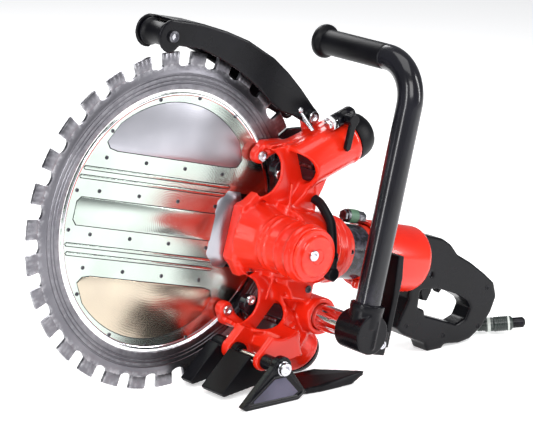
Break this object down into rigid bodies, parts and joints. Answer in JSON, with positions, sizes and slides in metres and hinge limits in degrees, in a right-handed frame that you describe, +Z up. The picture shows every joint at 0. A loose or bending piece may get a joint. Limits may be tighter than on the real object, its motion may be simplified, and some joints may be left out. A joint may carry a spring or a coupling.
{
  "type": "ring saw",
  "caption": "Hydraulic ring saw for rescue work with a centreless ring blade, red cover, front and rear handles and a blade guard",
  "frame": {"origin": "on the ground, at the middle of the footprint of the saw's bounding box, with the saw standing at rest", "axes": "+X to the rear handle, +Y to the saw's right side, away from the cover, +Z up"},
  "size_m": [0.6392, 0.1704, 0.3872],
  "materials": {
    "red_paint": "gloss",
    "black_paint": "gloss",
    "black_plastic": "satin",
    "black_rubber": "matt",
    "bright_steel": "polished",
    "polished_disc": "polished",
    "blade_steel": "satin",
    "chrome": "polished",
    "braided_hose": "braided"
  },
  "bodies": {
    "chassis": {"cover_casting": "red_paint", "hub_cap": "red_paint", "gear_cover": "bright_steel", "shaft_bearing": "bright_steel", "centre_disc": "polished_disc", "disc_screw_upper": "bright_steel", "disc_screw_lower": "bright_steel", "back_plate": "black_paint", "spacer_post_upper": "bright_steel", "spacer_post_lower": "bright_steel", "tension_cap_upper": "black_rubber", "tension_cap_lower": "black_rubber", "tension_spring_upper": "bright_steel", "tension_spring_lower": "bright_steel", "motor_flange": "red_paint", "tube_neck": "red_paint", "tube_rear": "red_paint", "valve_block": "bright_steel", "rear_handle_left": "black_plastic", "rear_handle_right": "black_plastic", "trigger_pin": "bright_steel", "return_nipple": "bright_steel", "handle_shaft": "chrome", "guard_pin": "bright_steel", "flap_bolt": "bright_steel", "splash_skirt": "black_rubber", "water_valve": "black_plastic", "water_valve_nut": "bright_steel", "water_hose": "black_rubber", "hose_elbow": "black_plastic", "supply_hose": "braided_hose", "hose_coupling": "bright_steel", "hose_clip": "black_plastic", "coupling_sleeve": "bright_steel"},
    "blade": {"ring_blade": "blade_steel"},
    "drive": {"drive_wheel": "bright_steel", "drive_shaft": "bright_steel", "drive_gear": "bright_steel"},
    "idler": {"idler_gear": "bright_steel"},
    "upper_carrier": {"roller_carrier_upper": "black_paint", "guide_pin_upper": "bright_steel"},
    "lower_carrier": {"roller_carrier_lower": "black_paint", "guide_pin_lower": "bright_steel"},
    "upper_guide_roller": {"guide_roller_upper": "bright_steel"},
    "lower_guide_roller": {"guide_roller_lower": "bright_steel"},
    "upper_support_roller": {"support_roller_upper": "bright_steel"},
    "lower_support_roller": {"support_roller_lower": "bright_steel"},
    "blade_guard": {"blade_guard": "black_plastic"},
    "guard_roller": {"guard_roller": "black_rubber"},
    "front_handle": {"front_handle": "black_paint", "front_grip": "black_rubber", "handle_clamp": "black_plastic", "leg_guard": "black_rubber"},
    "trigger": {"trigger": "black_plastic"},
    "trigger_lock": {"trigger_lock": "black_plastic"},
    "valve_spool": {"valve_spool": "bright_steel"},
    "outer_flap": {"splash_flap_outer": "black_rubber"},
    "middle_flap": {"splash_flap_middle": "black_rubber"},
    "inner_flap": {"splash_flap_inner": "black_rubber"},
    "water_lever": {"water_lever": "black_plastic"}
  },
  "joints": [
    {"name": "blade_spin", "type": "hinge", "parent": "chassis", "child": "blade", "pos_m": [-0.14461, 0.0632, 0.175], "axis": [0, 1, 0], "continuous": true},
    {"name": "drive_spin", "type": "hinge", "parent": "chassis", "child": "drive", "pos_m": [-0.04107, 0.0632, 0.15092], "axis": [0, 1, 0], "continuous": true},
    {"name": "idler_spin", "type": "hinge", "parent": "chassis", "child": "idler", "pos_m": [-0.01731, 0.0632, 0.14539], "axis": [0, 1, 0], "continuous": true},
    {"name": "upper_carrier_slide", "type": "slide", "parent": "chassis", "child": "upper_carrier", "axis": [0.9488, 0, 0.3157], "range_m": [0, 0.004], "stiffness_N_per_m": 4000, "springref_m": -0.02},
    {"name": "lower_carrier_slide", "type": "slide", "parent": "chassis", "child": "lower_carrier", "axis": [0.7121, 0, -0.7021], "range_m": [0, 0.004], "stiffness_N_per_m": 4000, "springref_m": -0.02},
    {"name": "upper_guide_roller_spin", "type": "hinge", "parent": "upper_carrier", "child": "upper_guide_roller", "pos_m": [0.00578, 0.0632, 0.22504], "axis": [0, 1, 0], "continuous": true},
    {"name": "lower_guide_roller_spin", "type": "hinge", "parent": "lower_carrier", "child": "lower_guide_roller", "pos_m": [-0.03174, 0.0632, 0.06372], "axis": [0, 1, 0], "continuous": true},
    {"name": "upper_support_roller_spin", "type": "hinge", "parent": "chassis", "child": "upper_support_roller", "pos_m": [0.00578, 0.0632, 0.22504], "axis": [0, 1, 0], "continuous": true},
    {"name": "lower_support_roller_spin", "type": "hinge", "parent": "chassis", "child": "lower_support_roller", "pos_m": [-0.03174, 0.0632, 0.06372], "axis": [0, 1, 0], "continuous": true},
    {"name": "guard_swing", "type": "hinge", "parent": "chassis", "child": "blade_guard", "pos_m": [0.02728, 0.0632, 0.26952], "axis": [0, 1, 0], "range_deg": [0, 30]},
    {"name": "guard_roller_spin", "type": "hinge", "parent": "blade_guard", "child": "guard_roller", "pos_m": [-0.16285, 0.0632, 0.37021], "axis": [0, 1, 0], "continuous": true},
    {"name": "front_handle_turn", "type": "hinge", "parent": "chassis", "child": "front_handle", "pos_m": [0.01216, -0.06781, 0.06769], "axis": [0, 1, 0], "range_deg": [-10, 30]},
    {"name": "spool_slide", "type": "slide", "parent": "chassis", "child": "valve_spool", "axis": [-0.974, 0, 0.2266], "range_m": [0, 0.0025], "stiffness_N_per_m": 1500, "springref_m": -0.003},
    {"name": "trigger_pull", "type": "hinge", "parent": "chassis", "child": "trigger", "pos_m": [0.17604, 0.0112, 0.08809], "axis": [0, -1, 0], "range_deg": [0, 12]},
    {"name": "trigger_lock_press", "type": "hinge", "parent": "chassis", "child": "trigger_lock", "pos_m": [0.20188, 0.0112, 0.08003], "axis": [0, -1, 0], "range_deg": [0, 10], "stiffness_Nm_per_rad": 0.08, "springref_deg": -11.46},
    {"name": "outer_flap_swing", "type": "hinge", "parent": "chassis", "child": "outer_flap", "pos_m": [-0.07687, 0.0632, 0.03809], "axis": [0, 1, 0], "range_deg": [-25, 0]},
    {"name": "middle_flap_swing", "type": "hinge", "parent": "chassis", "child": "middle_flap", "pos_m": [-0.07687, 0.0632, 0.03809], "axis": [0, 1, 0], "range_deg": [-12, 0]},
    {"name": "inner_flap_swing", "type": "hinge", "parent": "chassis", "child": "inner_flap", "pos_m": [-0.07687, 0.0632, 0.03809], "axis": [0, 1, 0], "range_deg": [-12, 0]},
    {"name": "water_lever_turn", "type": "hinge", "parent": "chassis", "child": "water_lever", "pos_m": [0.04644, 0.0632, 0.2723], "axis": [0, 1, 0], "range_deg": [-90, 0]}
  ],
  "couplings": [
    {"joint": "drive_spin", "follows": "blade_spin", "ratio": 4.5533},
    {"joint": "idler_spin", "follows": "blade_spin", "ratio": -4.5533},
    {"joint": "trigger_pull", "follows": "spool_slide", "rad_per_m": 83.776},
    {"joint": "upper_guide_roller_spin", "follows": "blade_spin", "ratio": -9.5667},
    {"joint": "lower_guide_roller_spin", "follows": "blade_spin", "ratio": -9.5667},
    {"joint": "upper_support_roller_spin", "follows": "blade_spin", "ratio": -9.5667},
    {"joint": "lower_support_roller_spin", "follows": "blade_spin", "ratio": -9.5667}
  ]
}
